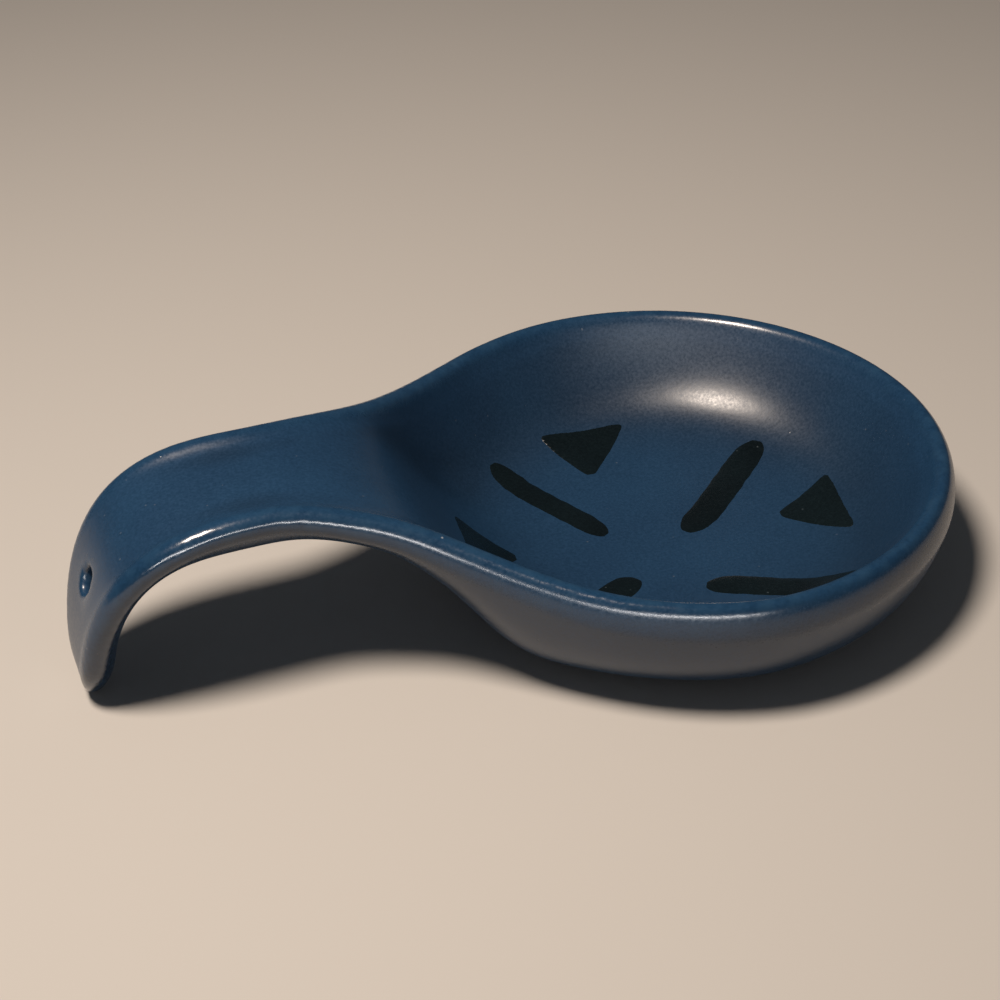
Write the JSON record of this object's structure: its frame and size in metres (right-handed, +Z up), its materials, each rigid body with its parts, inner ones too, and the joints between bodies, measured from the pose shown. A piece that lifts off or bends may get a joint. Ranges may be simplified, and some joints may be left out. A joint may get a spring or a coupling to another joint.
{
  "type": "spoon rest",
  "caption": "Round glazed ceramic spoon rest with an arched trough handle, a hanging hole and simple dark painted marks in the bowl.",
  "frame": {"origin": "centre of the foot's face, on the table, on the axis of the round bowl", "axes": "+X away from the handle, +Z up, the piece is symmetric about the XZ plane apart from its marks"},
  "size_m": [0.2036, 0.1318, 0.047],
  "materials": {
    "blue_glaze": "satin glaze",
    "bare_clay": "unglazed, matte",
    "dark_glaze": "satin glaze"
  },
  "bodies": {
    "root": {"ceramic_body": "blue_glaze", "bare_foot": "bare_clay", "triangle_back": "dark_glaze", "triangle_right": "dark_glaze", "triangle_left": "dark_glaze", "triangle_front": "dark_glaze", "bar_back_right": "dark_glaze", "bar_back_left": "dark_glaze", "bar_front_right": "dark_glaze", "bar_front_left": "dark_glaze"}
  },
  "joints": []
}
